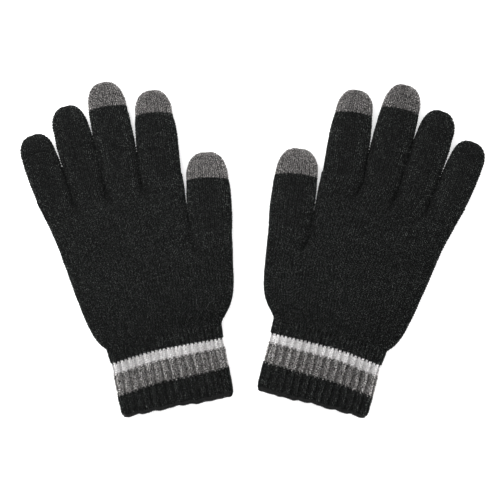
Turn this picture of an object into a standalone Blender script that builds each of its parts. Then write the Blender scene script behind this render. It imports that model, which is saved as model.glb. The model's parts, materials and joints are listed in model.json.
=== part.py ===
"""Pair of knitted touchscreen gloves, laid out side by side, palms up.

Metres, +Z up, +Y towards the fingertips, resting on Z = 0. Every glove is
built in its own flat layout first (x across the hand with the thumb at +x,
y from the end of the cuff to the fingertips) and then turned and placed. The
right-hand place of the pair is the mirror image of the left-hand one.

Each piece is one hollow knitted tube, as the knitting machine makes it. The
tubes are parted where the glove bends, so that every part can turn.
"""

import math

import bpy

for old in list(bpy.data.objects):
    bpy.data.objects.remove(old, do_unlink=True)

# ---------------------------------------------------------------- fabric
WALL = 0.0014  # one layer of the knitted fabric
SEAM_GAP = 0.0003  # clearance between tubes that meet end to end
FINGER_GAP = 0.0009  # clearance between fingers lying side by side
BOXINESS = 2.7  # exponent of the cross-section, 2 is an ellipse
FLATTENED = 0.0005  # how far the underside settles flat on the table
PALM_POINTS = 24  # points around a palm or cuff tube
FINGER_POINTS = 16  # points around a finger tube

# ---------------------------------------------------------------- lengths, from the end of the cuff
HEM_TOP = 0.0026  # overlocked edge
BAND_TOP = 0.0165  # last band of the cuff
GREY_TOP = 0.0303  # mid-grey stripe
LIGHT_TOP = 0.0380  # light stripe
WRIST = 0.0475  # end of the rib, where the hand begins
THUMB_FORK = 0.1095  # where the thumb leaves the hand
FINGER_LINE = 0.1520  # where the four fingers leave the hand

# ---------------------------------------------------------------- widths
CUFF_LEFT = -0.0379
CUFF_RIGHT = 0.0391
HEM_SWELL = 0.0004  # the overlocked edge stands out from the cuff
WRIST_LEFT = -0.0386
WRIST_RIGHT = 0.0393
HAND_FLARE = 0.163  # the hand widens this much per metre of length, each side
HEEL_LEFT, HEEL_LEFT_REACH = 0.0074, 0.0065  # heel of the hand, little-finger side
HEEL_RIGHT, HEEL_RIGHT_REACH = 0.0096, 0.0105  # ball of the thumb
INDEX_SIDE_AT_FORK = 0.0311
INDEX_SIDE_AT_FINGERS = 0.0333
LITTLE_SIDE_AT_FINGERS = -0.0660

# ---------------------------------------------------------------- thicknesses, both layers and the hand room
CUFF_THICK = 0.0110
HAND_THICK = 0.0124
FORK_THICK = 0.0118
FINGER_THICK = 0.0104
HINGE_OVER = 0.0002  # hinge lines lie this far above the upper surface

# ---------------------------------------------------------------- elastic threads laid into the wrist rib
ELASTIC_THICK = 0.0008
ELASTIC_LINES = (0.0402, 0.0428, 0.0454)

# ---------------------------------------------------------------- digits
# name: base edges across the hand, lean in degrees towards the thumb, length
# from the base line, widest width, width at the last joint, middle joint and
# last joint as parts of the length, thickness
DIGITS = {
    "little": dict(base=(-0.0660, -0.0420), lean=-9.0, length=0.0454, wide=0.0238, slim=0.0224, middle=0.42, last=0.71),
    "ring": dict(base=(-0.0420, -0.0192), lean=-4.4, length=0.0600, wide=0.0250, slim=0.0234, middle=0.42, last=0.73),
    "middle": dict(base=(-0.0192, 0.0050), lean=0.0, length=0.0708, wide=0.0262, slim=0.0248, middle=0.42, last=0.76),
    "index": dict(base=(0.0050, 0.0333), lean=4.7, length=0.0594, wide=0.0274, slim=0.0242, middle=0.42, last=0.735),
}
THUMB = dict(base=(0.0311, 0.0596), lean=7.0, length=0.0539, wide=0.0292, slim=0.0276, last=0.695)
TIP_BOXINESS = 2.2  # roundness of a fingertip seen from above
TIP_END_THICK = 0.55  # thickness left at the very end of a fingertip

# ---------------------------------------------------------------- the two places of the pair
LEFT_LEAN = 11.2  # degrees away from straight up
RIGHT_LEAN = 14.7
LEFT_CUFF = (-0.0510, -0.1044)  # middle of the cuff end on the table
RIGHT_CUFF = (0.0404, -0.1040)


# ---------------------------------------------------------------- materials
def fabric(name, rgb, roughness, sheen):
    material = bpy.data.materials.new(name)
    material.use_nodes = True
    shader = material.node_tree.nodes["Principled BSDF"]
    shader.inputs["Base Color"].default_value = (*rgb, 1.0)
    shader.inputs["Roughness"].default_value = roughness
    shader.inputs["Sheen Weight"].default_value = sheen
    material.diffuse_color = (*rgb, 1.0)
    return material


BLACK_KNIT = fabric("black_acrylic_knit", (0.013, 0.014, 0.013), 0.92, 0.25)
TOUCH_KNIT = fabric("conductive_grey_knit", (0.125, 0.122, 0.120), 0.85, 0.20)
MID_KNIT = fabric("mid_grey_knit", (0.105, 0.102, 0.100), 0.90, 0.20)
LIGHT_KNIT = fabric("light_grey_knit", (0.50, 0.49, 0.50), 0.88, 0.20)
OVERLOCK = fabric("black_overlock_thread", (0.018, 0.019, 0.018), 0.80, 0.20)
ELASTIC = fabric("covered_elastic_thread", (0.030, 0.030, 0.032), 0.60, 0.10)


# ---------------------------------------------------------------- shapes
def rounded(value, boxiness):
    """A cosine or sine bent towards a box."""
    return math.copysign(abs(value) ** (2.0 / boxiness), value)


def section(left, right, thick, inset, points):
    """(x, z) around a tube: flat below, domed above, drawn in by the inset."""
    middle, half = (left + right) / 2, (right - left) / 2 - inset
    tall = (thick + FLATTENED) / 2 - inset
    around = []
    for k in range(points):
        angle = 2 * math.pi * (k + 0.5) / points
        x = middle + half * rounded(math.cos(angle), BOXINESS)
        z = inset + tall + tall * rounded(math.sin(angle), BOXINESS) - FLATTENED
        around.append((x, max(z, inset)))
    return around


def tube(stations, points, outer_inset=0.0, wall=WALL, closed=False):
    """One hollow tube through stations of (y, left, right, thick, tilt).

    The tilt slants a station's plane, y grows by tilt for every metre of x
    from its middle. A closed tube ends in a domed tip, as thick as its wall.
    """
    vertices, rings = [], []
    for skin, inset in enumerate((outer_inset, outer_inset + wall)):
        rings.append([])
        last = len(stations) - 1
        for s, (y, left, right, thick, tilt) in enumerate(stations):
            if closed and skin and s == last:
                y -= wall
            middle = (left + right) / 2
            first = len(vertices)
            for x, z in section(left, right, thick, inset, points):
                vertices.append((x, y + tilt * (x - middle), z))
            rings[-1].append(range(first, first + points))
    faces = []
    outer, inner = rings
    for skin, flip in ((outer, False), (inner, True)):
        for a, b in zip(skin, skin[1:]):
            for k in range(points):
                n = (k + 1) % points
                quad = (a[k], b[k], b[n], a[n])
                faces.append(quad[::-1] if flip else quad)
    ends = [(outer[0], inner[0], True)]
    if closed:
        faces.append(tuple(reversed(outer[-1])))
        faces.append(tuple(inner[-1]))
    else:
        ends.append((outer[-1], inner[-1], False))
    for a, b, first in ends:
        for k in range(points):
            n = (k + 1) % points
            quad = (a[k], a[n], b[n], b[k])
            faces.append(quad if first else quad[::-1])
    return vertices, faces


# ---------------------------------------------------------------- outline of the hand
def little_side(y):
    rise = max(y - WRIST, 0.0)
    flare = WRIST_LEFT - HAND_FLARE * rise - HEEL_LEFT * (1 - math.exp(-rise / HEEL_LEFT_REACH))
    if y <= THUMB_FORK:
        return flare
    along = (y - THUMB_FORK) / (FINGER_LINE - THUMB_FORK)
    at_fork = little_side(THUMB_FORK)
    return at_fork + (LITTLE_SIDE_AT_FINGERS - at_fork) * along**1.3


def thumb_side(y):
    rise = max(y - WRIST, 0.0)
    ball = 1 - math.exp(-((rise / HEEL_RIGHT_REACH) ** 1.6))
    return WRIST_RIGHT + HAND_FLARE * rise + HEEL_RIGHT * ball


def index_side(y):
    along = (y - THUMB_FORK) / (FINGER_LINE - THUMB_FORK)
    return INDEX_SIDE_AT_FORK + (INDEX_SIDE_AT_FINGERS - INDEX_SIDE_AT_FORK) * along


def hand_thick(y):
    if y <= THUMB_FORK:
        along = (y - WRIST) / (THUMB_FORK - WRIST)
        dome = math.sin(math.pi * along) * (HAND_THICK - (CUFF_THICK + FORK_THICK) / 2)
        return CUFF_THICK + (FORK_THICK - CUFF_THICK) * along + dome
    along = (y - THUMB_FORK) / (FINGER_LINE - THUMB_FORK)
    return FORK_THICK + (FINGER_THICK - FORK_THICK) * along


def steps(start, end, count, ease=1.0):
    """Stations from start to end, closer together near the start if eased."""
    return [start + (end - start) * (k / count) ** ease for k in range(count + 1)]


# ---------------------------------------------------------------- pieces of one glove, in its own layout
PIECES = []  # (name, mesh, material, point on the hinge line, turn of the mesh's own layout)


def add_piece(name, mesh, material, pivot, base=(0.0, 0.0), lean=0.0):
    """Record one piece. A digit is drawn upright at its base, then leaned."""
    vertices, faces = mesh
    c, s = math.cos(math.radians(lean)), math.sin(math.radians(lean))
    laid = [(base[0] + x * c + y * s, base[1] - x * s + y * c, z) for x, y, z in vertices]
    spot = (base[0] + pivot[0] * c + pivot[1] * s, base[1] - pivot[0] * s + pivot[1] * c, pivot[2])
    PIECES.append((name, laid, faces, material, spot))


def straight(y, left, right, thick):
    return (y, left, right, thick, 0.0)


def cuff_part(name, start, end, material, spans=1, swell=0.0):
    rows = [
        straight(y, CUFF_LEFT - swell, CUFF_RIGHT + swell, CUFF_THICK + swell)
        for y in steps(start, end, spans)
    ]
    mesh = tube(rows, PALM_POINTS, wall=WALL + swell)
    add_piece(name, mesh, material, WRIST_HINGE)


CUFF_MIDDLE = (CUFF_LEFT + CUFF_RIGHT) / 2
WRIST_HINGE = (CUFF_MIDDLE, WRIST, CUFF_THICK + HINGE_OVER)

cuff_part("cuff_overlock_edge", 0.0, HEM_TOP - SEAM_GAP, OVERLOCK, swell=HEM_SWELL)
cuff_part("cuff_end_band", HEM_TOP, BAND_TOP - SEAM_GAP, BLACK_KNIT)
cuff_part("cuff_grey_stripe", BAND_TOP, GREY_TOP - SEAM_GAP, MID_KNIT)
cuff_part("cuff_light_stripe", GREY_TOP, LIGHT_TOP - SEAM_GAP, LIGHT_KNIT)

rib_rows = [
    straight(LIGHT_TOP, CUFF_LEFT, CUFF_RIGHT, CUFF_THICK),
    straight(WRIST - SEAM_GAP / 2, WRIST_LEFT, WRIST_RIGHT, CUFF_THICK),
]
add_piece("cuff_wrist_rib", tube(rib_rows, PALM_POINTS), BLACK_KNIT, WRIST_HINGE)

for number, line in enumerate(ELASTIC_LINES, 1):
    part = (line - LIGHT_TOP) / (WRIST - LIGHT_TOP)
    left = CUFF_LEFT + (WRIST_LEFT - CUFF_LEFT) * part
    right = CUFF_RIGHT + (WRIST_RIGHT - CUFF_RIGHT) * part
    rows = [straight(y, left, right, CUFF_THICK) for y in (line, line + ELASTIC_THICK)]
    mesh = tube(rows, PALM_POINTS, outer_inset=WALL + SEAM_GAP, wall=ELASTIC_THICK)
    add_piece(f"wrist_elastic_{number}", mesh, ELASTIC, WRIST_HINGE)

five_rows = [
    straight(y, little_side(y), thumb_side(y), hand_thick(y))
    for y in steps(WRIST + SEAM_GAP / 2, THUMB_FORK - SEAM_GAP / 2, 6, ease=1.5)
]
add_piece("palm_five_finger_tube", tube(five_rows, PALM_POINTS), BLACK_KNIT, (0.0, THUMB_FORK, 0.0))

four_rows = [
    straight(y, little_side(y), index_side(y), hand_thick(y))
    for y in steps(THUMB_FORK + SEAM_GAP / 2, FINGER_LINE - SEAM_GAP / 2, 3)
]
add_piece("palm_four_finger_tube", tube(four_rows, PALM_POINTS), BLACK_KNIT, (0.0, THUMB_FORK, 0.0))


def digit_width(digit, y):
    """Width across the digit: its base, its widest place, its last joint."""
    base_wide = digit["base_wide"]
    last = digit["last"] * digit["length"]
    belly = 0.55 * last
    if y <= belly:
        return base_wide + (digit["wide"] - base_wide) * math.sin(0.5 * math.pi * y / belly)
    along = min((y - belly) / (last - belly), 1.0)
    return digit["wide"] + (digit["slim"] - digit["wide"]) * along**2


def digit_row(digit, y, thick, tilt=0.0):
    half = digit_width(digit, y) / 2
    return (y, -half, half, thick, tilt)


def tip_rows(digit, start, thick, count=4):
    """Stations of a closed fingertip, rounded like a bent ellipse."""
    length = digit["length"]
    rows = []
    for k in range(count + 1):
        part = math.sin(0.5 * math.pi * k / count * 0.86)
        if k == 0:
            part = 0.0
        round_off = (1 - part**TIP_BOXINESS) ** (1 / TIP_BOXINESS)
        half = digit["slim"] / 2 * round_off
        low = TIP_END_THICK + (1 - TIP_END_THICK) * round_off
        rows.append((start + (length - start) * part, -half, half, thick * low, 0.0))
    end_half = rows[-1][2] * 0.62
    rows.append((length, -end_half, end_half, rows[-1][3] * 0.86, 0.0))
    return rows


def add_digit(name, digit, base_line, thick, tip_name, tip_material):
    """Lower tube, upper tube and fingertip; a thumb has no upper tube."""
    left, right = digit["base"]
    left, right = left + FINGER_GAP / 2, right - FINGER_GAP / 2
    lean = digit["lean"]
    digit["base_wide"] = (right - left) * math.cos(math.radians(lean))
    slant = math.tan(math.radians(lean))
    length = digit["length"]
    base = ((left + right) / 2, base_line)
    hinge_height = thick + HINGE_OVER
    cuts = [0.0] + [digit[k] * length for k in ("middle", "last") if k in digit]
    half_gap = SEAM_GAP / 2
    labels = ["lower_tube", "upper_tube"] if len(cuts) == 3 else ["tube"]
    for label, start, end in zip(labels, cuts, cuts[1:]):
        foot = (half_gap / math.cos(math.radians(lean)), slant) if start == 0.0 else (start + half_gap, 0.0)
        rows = [digit_row(digit, foot[0], thick, foot[1])]
        rows.append(digit_row(digit, (start + end) / 2, thick))
        rows.append(digit_row(digit, end - half_gap, thick))
        add_piece(f"{name}_{label}", tube(rows, FINGER_POINTS), BLACK_KNIT, (0.0, start, hinge_height), base, lean)
    rows = tip_rows(digit, cuts[-1] + half_gap, thick)
    mesh = tube(rows, FINGER_POINTS, closed=True)
    add_piece(f"{name}_{tip_name}", mesh, tip_material, (0.0, cuts[-1], hinge_height), base, lean)


add_digit("thumb", THUMB, THUMB_FORK, FORK_THICK, "touch_tip", TOUCH_KNIT)
for finger, digit in DIGITS.items():
    touch = finger in ("index", "middle")
    add_digit(finger, digit, FINGER_LINE, FINGER_THICK, "touch_tip" if touch else "plain_tip", TOUCH_KNIT if touch else BLACK_KNIT)


# ---------------------------------------------------------------- place both gloves
def placer(mirror, lean, cuff):
    c, s = math.cos(math.radians(lean)), math.sin(math.radians(lean))

    def place(point):
        x, y, z = point[0] - CUFF_MIDDLE, point[1], point[2]
        return (cuff[0] + mirror * (x * c - y * s), cuff[1] + x * s + y * c, z)

    return place


def placed_pieces():
    for side, mirror, lean, cuff in (("left", 1, LEFT_LEAN, LEFT_CUFF), ("right", -1, RIGHT_LEAN, RIGHT_CUFF)):
        place = placer(mirror, lean, cuff)
        for name, vertices, faces, material, pivot in PIECES:
            world = [place(v) for v in vertices]
            turned = [f[::-1] for f in faces] if mirror < 0 else faces
            yield f"{side}_{name}", world, turned, material, place(pivot)


placed = list(placed_pieces())
lows = [min(v[axis] for p in placed for v in p[1]) for axis in range(2)]
highs = [max(v[axis] for p in placed for v in p[1]) for axis in range(2)]
centre = [(a + b) / 2 for a, b in zip(lows, highs)]

for name, vertices, faces, material, pivot in placed:
    spot = (pivot[0] - centre[0], pivot[1] - centre[1], pivot[2])
    own = [(x - pivot[0], y - pivot[1], z - pivot[2]) for x, y, z in vertices]
    mesh = bpy.data.meshes.new(name)
    mesh.from_pydata(own, [], faces)
    mesh.materials.append(material)
    mesh.validate()
    mesh.update()
    piece = bpy.data.objects.new(name, mesh)
    piece.location = spot
    bpy.context.scene.collection.objects.link(piece)
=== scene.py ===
# %% [markdown]
# # A pair of knitted touchscreen gloves
# Two stretch gloves lie side by side with the palms up. Each one is a set of
# knitted tubes: a ribbed cuff with two grey stripes, a palm, four fingers and
# a thumb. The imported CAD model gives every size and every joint; this lesson
# dresses it in yarn.

# %% Load the frame and the modules
import json
import math

import bpy
import numpy as np
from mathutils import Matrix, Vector, noise


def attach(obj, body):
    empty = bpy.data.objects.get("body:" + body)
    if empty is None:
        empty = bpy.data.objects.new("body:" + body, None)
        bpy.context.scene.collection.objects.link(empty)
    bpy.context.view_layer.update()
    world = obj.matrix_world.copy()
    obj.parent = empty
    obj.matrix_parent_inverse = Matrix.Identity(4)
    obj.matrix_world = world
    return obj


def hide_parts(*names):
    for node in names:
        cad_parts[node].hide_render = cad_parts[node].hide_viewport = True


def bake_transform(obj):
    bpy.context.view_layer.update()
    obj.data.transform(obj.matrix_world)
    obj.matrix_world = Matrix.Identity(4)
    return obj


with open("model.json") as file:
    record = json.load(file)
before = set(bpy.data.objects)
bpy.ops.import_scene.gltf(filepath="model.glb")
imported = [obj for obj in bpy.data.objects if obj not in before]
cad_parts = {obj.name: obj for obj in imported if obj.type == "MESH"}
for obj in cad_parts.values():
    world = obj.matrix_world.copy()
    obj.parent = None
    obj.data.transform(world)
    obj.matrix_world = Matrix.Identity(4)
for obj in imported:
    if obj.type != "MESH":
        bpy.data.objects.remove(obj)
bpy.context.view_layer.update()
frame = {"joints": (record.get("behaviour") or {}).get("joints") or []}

# %% [markdown]
# ## The camera
# The gloves are seen from straight above, so the camera looks down on the
# middle of the table. A long lens keeps the sides of the fingers out of
# sight, as a product view does.

# %% Place the camera
VIEW_WIDTH = 0.3358  # metres across the view, at the top of the gloves
VIEW_CENTRE = (-0.0016, -0.0005)
GLOVE_TOP = 0.010
LENS_MM, SENSOR_MM = 100.0, 36.0

scene = bpy.context.scene


def put(name, data):
    """A new object in the scene."""
    thing = bpy.data.objects.new(name, data)
    scene.collection.objects.link(thing)
    return thing


camera = put("camera", bpy.data.cameras.new("camera"))
camera.data.lens = LENS_MM
camera.data.sensor_width = SENSOR_MM
camera.location = (*VIEW_CENTRE, GLOVE_TOP + VIEW_WIDTH * LENS_MM / SENSOR_MM)
scene.camera = camera
print("camera height:", round(camera.location.z, 3), "m")

# %% [markdown]
# ## One glove laid flat
# A glove is first described in its own flat layout: x runs across the hand
# with the thumb at +x, y from the end of the cuff to the fingertips, z up.
# The numbers are those of the CAD model. Both gloves use the same layout,
# and the right-hand one is its mirror image.

# %% Sizes of the glove, in metres
MM = 0.001
BOXINESS = 2.7  # roundness of the cuff and palm, 2 is an ellipse
DIGIT_BOXINESS = 2.35
FLATTENED = 0.5 * MM  # the underside settles on the table
YARN_INSET = 0.5 * MM  # the stitches' base lies this far inside the CAD surface
SIDE_SWELL = 0.95 * MM  # edge stitches roll over and widen every tube a little

# heights of the colour changes, the wrist, the fork of the thumb and the forks of the fingers
HEM_TOP = 0.0026
BAND_TOP = 0.0165
GREY_TOP = 0.0303
LIGHT_TOP = 0.0380
WRIST = 0.0475
THUMB_FORK = 0.1095
FINGER_LINE = 0.1520

CUFF_LEFT, CUFF_RIGHT = -0.0379, 0.0391
CUFF_MIDDLE = (CUFF_LEFT + CUFF_RIGHT) / 2
WRIST_LEFT, WRIST_RIGHT = -0.0386, 0.0393
HAND_FLARE = 0.163  # each side of the palm leans out by this slope
HEEL_LEFT, HEEL_LEFT_REACH = 0.0074, 0.0065  # above the wrist the heel of the hand bulges out
HEEL_RIGHT, HEEL_RIGHT_REACH, HEEL_RIGHT_SHARPNESS = 0.0096, 0.0105, 1.6
LITTLE_SIDE_CURVE = 1.3
INDEX_SIDE_AT_FORK = 0.0311
FINGER_EDGES = (-0.0660, -0.0420, -0.0192, 0.0050, 0.0333)  # where the fingers begin, from little to index
CUFF_THICK, HAND_THICK, FORK_THICK, FINGER_THICK = 0.0110, 0.0124, 0.0118, 0.0104
FINGER_GAP = 0.9 * MM
MIDDLE_JOINT = 0.42  # a finger bends here, as a share of its length

# lean in degrees towards the thumb, widths at the belly and at the last joint, and where that joint lies,
# as a share of the length
DIGITS = {
    "little": dict(base=FINGER_EDGES[0:2], lean=-9.0, length=0.0454, wide=0.0238, slim=0.0224, last=0.71),
    "ring": dict(base=FINGER_EDGES[1:3], lean=-4.4, length=0.0600, wide=0.0250, slim=0.0234, last=0.73),
    "middle": dict(base=FINGER_EDGES[2:4], lean=0.0, length=0.0708, wide=0.0262, slim=0.0248, last=0.76),
    "index": dict(base=FINGER_EDGES[3:5], lean=4.7, length=0.0594, wide=0.0274, slim=0.0242, last=0.735),
    "thumb": dict(base=(INDEX_SIDE_AT_FORK, 0.0596), lean=7.0, length=0.0539, wide=0.0292, slim=0.0276,
                  last=0.695),
}


def foot_of(name):
    """The middle of a digit's foot in the flat layout."""
    return sum(DIGITS[name]["base"]) / 2, THUMB_FORK if name == "thumb" else FINGER_LINE


# %% Outline of the hand
def little_side(y):
    rise = max(y - WRIST, 0.0)
    flare = WRIST_LEFT - HAND_FLARE * rise - HEEL_LEFT * (1 - math.exp(-rise / HEEL_LEFT_REACH))
    if y <= THUMB_FORK:
        return flare
    along = (y - THUMB_FORK) / (FINGER_LINE - THUMB_FORK)
    at_fork = little_side(THUMB_FORK)
    return at_fork + (FINGER_EDGES[0] - at_fork) * along**LITTLE_SIDE_CURVE


def thumb_side(y):
    rise = max(y - WRIST, 0.0)
    ball = 1 - math.exp(-((rise / HEEL_RIGHT_REACH) ** HEEL_RIGHT_SHARPNESS))
    return WRIST_RIGHT + HAND_FLARE * rise + HEEL_RIGHT * ball


def index_side(y):
    along = (y - THUMB_FORK) / (FINGER_LINE - THUMB_FORK)
    return INDEX_SIDE_AT_FORK + (FINGER_EDGES[-1] - INDEX_SIDE_AT_FORK) * along


def hand_thick(y):
    if y <= THUMB_FORK:
        along = max(y - WRIST, 0.0) / (THUMB_FORK - WRIST)
        dome = math.sin(math.pi * along) * (HAND_THICK - (CUFF_THICK + FORK_THICK) / 2)
        return CUFF_THICK + (FORK_THICK - CUFF_THICK) * along + dome
    along = (y - THUMB_FORK) / (FINGER_LINE - THUMB_FORK)
    return FORK_THICK + (FINGER_THICK - FORK_THICK) * along


print("palm width at the fingers:", round((index_side(FINGER_LINE) - little_side(FINGER_LINE)) / MM, 1), "mm")

# %% [markdown]
# ## Loops around a tube
# A knitted tube is a stack of courses, and each course is one loop around the
# tube. Every loop here runs from the left edge over the top to the right edge
# and back underneath, with its points spaced evenly along the yarn, so that
# all stitches of a course are equally wide. Where the tube is about to part
# into fingers, the loop eases into one lobe for each of them.

# %% Draw one loop
DENSE = 160  # points used to measure half a loop


def bent(values, boxiness):
    """Cosines or sines bent towards a box."""
    return np.sign(values) * np.abs(values) ** (2.0 / boxiness)


def evenly(points, count):
    """The same line with its points spaced evenly."""
    steps = np.linalg.norm(np.diff(points, axis=0), axis=1)
    along = np.concatenate([[0.0], np.cumsum(steps)])
    wanted = np.linspace(0.0, along[-1], count + 1)
    return np.stack([np.interp(wanted, along, points[:, k]) for k in range(points.shape[1])], axis=1)


def loop(left, right, thick, columns, y, inset=YARN_INSET, raised=0.0, boxiness=BOXINESS):
    """One course around a tube, as (2 * columns + 1, 3) points."""
    middle, half = (left + right) / 2, max((right - left) / 2 - inset + SIDE_SWELL, 0.1 * MM)
    tall = max((thick + FLATTENED) / 2 - inset, 0.1 * MM)
    halves = []
    for start, end in ((math.pi, 0.0), (0.0, -math.pi)):
        angle = np.linspace(start, end, DENSE)
        x = middle + half * bent(np.cos(angle), boxiness)
        z = np.maximum(inset + tall + tall * bent(np.sin(angle), boxiness) - FLATTENED, inset) + raised
        halves.append(evenly(np.stack([x, np.full_like(x, y), z], axis=1), columns))
    return np.concatenate([halves[0], halves[1][1:]])


def lobes(spans, thick, y):
    """One course around several tubes side by side; spans are (left, right, columns)."""
    last = len(spans) - 1
    loops = []
    for k, (left, right, columns) in enumerate(spans):
        left, right = left + SIDE_SWELL * (k > 0), right - SIDE_SWELL * (k < last)
        loops.append(loop(left, right, thick, columns, y, boxiness=DIGIT_BOXINESS))
    top, under = loops[0][: spans[0][2] + 1], loops[-1][spans[-1][2]:]
    for nxt, (_, _, columns) in zip(loops[1:], spans[1:]):
        top[-1] = (top[-1] + nxt[0]) / 2
        top = np.concatenate([top, nxt[1: columns + 1]])
    for before, (_, _, columns) in zip(loops[-2::-1], spans[-2::-1]):
        under[-1] = (under[-1] + before[columns]) / 2
        under = np.concatenate([under, before[columns + 1:]])
    return np.concatenate([top, under[1:]])


def smooth(value, start, end):
    """A soft step from 0 at start to 1 at end."""
    t = min(max((value - start) / (end - start), 0.0), 1.0)
    return t * t * (3 - 2 * t)


print("points in a loop of ten columns:", len(loop(-0.01, 0.01, FINGER_THICK, 10, 0.0)))

# %% [markdown]
# ## The courses of the cuff
# Rib pulls in, and it pulls in unevenly: on the real cuff the colour changes
# run in slanted curves, the ribs lie in soft folds, the corners of the free
# end are round and its edge waves. Each of these is one small rule here, so
# that it can be turned up or down by itself.

# %% Let the courses of the cuff run unevenly
RIB_COLUMNS = 60  # 30 ribs on each side of the cuff
# how the courses run across the cuff, from its end to the heel of the hand
RUN_AT = np.array([0.0, 0.008, 0.0165, 0.0303, 0.038, 0.048, 0.062])
MIDDLE_RISE = np.array([0.0, 0.3, 0.6, 1.3, 0.4, 0.2, 0.0]) * MM
LITTLE_SIDE_DROOP = np.array([1.6, 3.2, 5.0, 5.0, 4.2, 2.5, 0.0]) * MM
THUMB_SIDE_LIFT = np.array([0.0, 0.4, 0.8, 0.0, -0.9, -0.4, 0.0]) * MM
FREE_REACH = 9 * MM  # only this much of the free end waves
HEM_DROP = 2.0 * MM  # the free end hangs lower towards the thumb
SCALLOP, SCALLOP_SPAN = 1.5 * MM, 4.8 * MM
LAYERS_APART = 0.4  # each layer of the free end waves by itself


def arched(points):
    """Let the courses run unevenly across and let the free end wave."""
    middle = (points[:, 0].min() + points[:, 0].max()) / 2
    half = (points[:, 0].max() - points[:, 0].min()) / 2
    across = (points[:, 0] - middle) / half
    y = points[:, 1].copy()
    points[:, 1] += np.interp(y, RUN_AT, MIDDLE_RISE)
    points[:, 1] -= np.interp(y, RUN_AT, LITTLE_SIDE_DROOP) * np.clip(-across - 0.1, 0, 1) ** 1.5
    points[:, 1] += np.interp(y, RUN_AT, THUMB_SIDE_LIFT) * np.clip(across, 0, 1) ** 2
    free = (1 - np.clip(y / FREE_REACH, 0, 1)) ** 1.5
    layer = [LAYERS_APART * math.copysign(1, z - CUFF_THICK / 2) for z in points[:, 2]]
    wave = [noise.noise(Vector((x / SCALLOP_SPAN, side, 3.3))) for x, side in zip(points[:, 0], layer)]
    points[:, 1] += free * (SCALLOP * np.array(wave) - HEM_DROP * (1 + across) / 2)
    return points


# %% Loops of the cuff
CORNER, CORNER_DEPTH = 4.8 * MM, 0.75  # radius of the cuff's free corners, and the share cut away
CORNER_ROUNDNESS = 0.97  # at 1 the corner would be a full quarter of an ellipse
RIB_FOLD = 0.65 * MM  # height of the soft folds, one for every two ribs
FOLD_VARIES, FOLD_CHANGE = 0.6, 0.23  # by how much the folds differ, and how fast from column to column
FOLD_START = 0.7  # the first fold doesn't sit right on the edge
FOLDS_FADE = (0.034, 0.050)
RIB_TOOTH = 0.42 * MM  # a knit column runs ahead of its purl neighbours by twice this
TEETH_FADE = (0.040, 0.047)
RIB_TIGHT = 0.45 * MM  # the cuff's edges lie tighter than those of the hand


def corner_cut(y):
    """How far the side of the cuff draws in near its free end."""
    part = 1 - min(max(y, 0.0) / CORNER, 1.0)
    return CORNER * CORNER_DEPTH * (1 - math.sqrt(1 - CORNER_ROUNDNESS * part**2))


def cuff_loop(y, swell=0.0, inset=YARN_INSET, tooth=0.0):
    """A course of the cuff, in folds; with a tooth, every second column runs ahead."""
    part = smooth(y, LIGHT_TOP - 4 * MM, WRIST)
    tight = RIB_TIGHT * (1 - part) - swell + corner_cut(y)
    left = CUFF_LEFT + (WRIST_LEFT - CUFF_LEFT) * part + tight
    right = CUFF_RIGHT + (WRIST_RIGHT - CUFF_RIGHT) * part - tight
    points = loop(left, right, CUFF_THICK + swell, RIB_COLUMNS, y, inset)
    count = np.arange(len(points))
    uneven_fold = [1 + FOLD_VARIES * noise.noise(Vector((FOLD_CHANGE * k, 0.0, 5.1))) for k in count]
    fold = [math.cos(k * math.pi / 2 + FOLD_START) * share for k, share in zip(count, uneven_fold)]
    side = np.sign(points[:, 2] - CUFF_THICK / 2)
    points[:, 2] += RIB_FOLD * np.array(fold) * side * (1 - smooth(y, *FOLDS_FADE))
    points = arched(points)
    points[:, 1] -= tooth * np.cos(math.pi * count) * (1 - smooth(y, *TEETH_FADE))
    return points


def rib_loop(y):
    return cuff_loop(y, tooth=RIB_TOOTH)


print("ribs on each side of the cuff:", RIB_COLUMNS // 2)

# %% [markdown]
# ## The courses of the palm
# The palm is a plain tube at the wrist. Before the thumb leaves, its courses
# ease into two lobes, and before the fingers leave, into four. The last folds
# of the rib die out on the heel of the hand.

# %% Loops of the palm
FINGER_COLUMNS = 11
THUMB_COLUMNS = 12
FOUR_COLUMNS = 4 * FINGER_COLUMNS
FIVE_COLUMNS = FOUR_COLUMNS + THUMB_COLUMNS
THUMB_LOBE_FROM, FINGER_LOBES_FROM = 0.089, 0.134
THUMB_CREASE = 1.2 * MM  # the palm and the root of the thumb swell against each other
THUMB_CREASE_FADE = (0.112, 0.124)
HEEL_FOLDS_TOP, HEEL_FOLDS_END = 0.053, 0.066
HEEL_FOLD = 0.6 * RIB_FOLD


def five_loop(y):
    wide = loop(little_side(y), thumb_side(y), hand_thick(y), FIVE_COLUMNS, y)
    spans = [
        (little_side(y), INDEX_SIDE_AT_FORK + THUMB_CREASE, FOUR_COLUMNS),
        (INDEX_SIDE_AT_FORK - THUMB_CREASE, thumb_side(y), THUMB_COLUMNS),
    ]
    part = smooth(y, THUMB_LOBE_FROM, THUMB_FORK)
    points = wide * (1 - part) + lobes(spans, hand_thick(y), y) * part
    fold = np.cos(np.arange(len(points)) * math.pi / 2 + math.pi / 4)
    fade = smooth(y, WRIST, HEEL_FOLDS_TOP) * (1 - smooth(y, HEEL_FOLDS_TOP, HEEL_FOLDS_END))
    points[:, 2] += HEEL_FOLD * fold * np.sign(points[:, 2] - CUFF_THICK / 2) * fade
    return arched(points)


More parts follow.
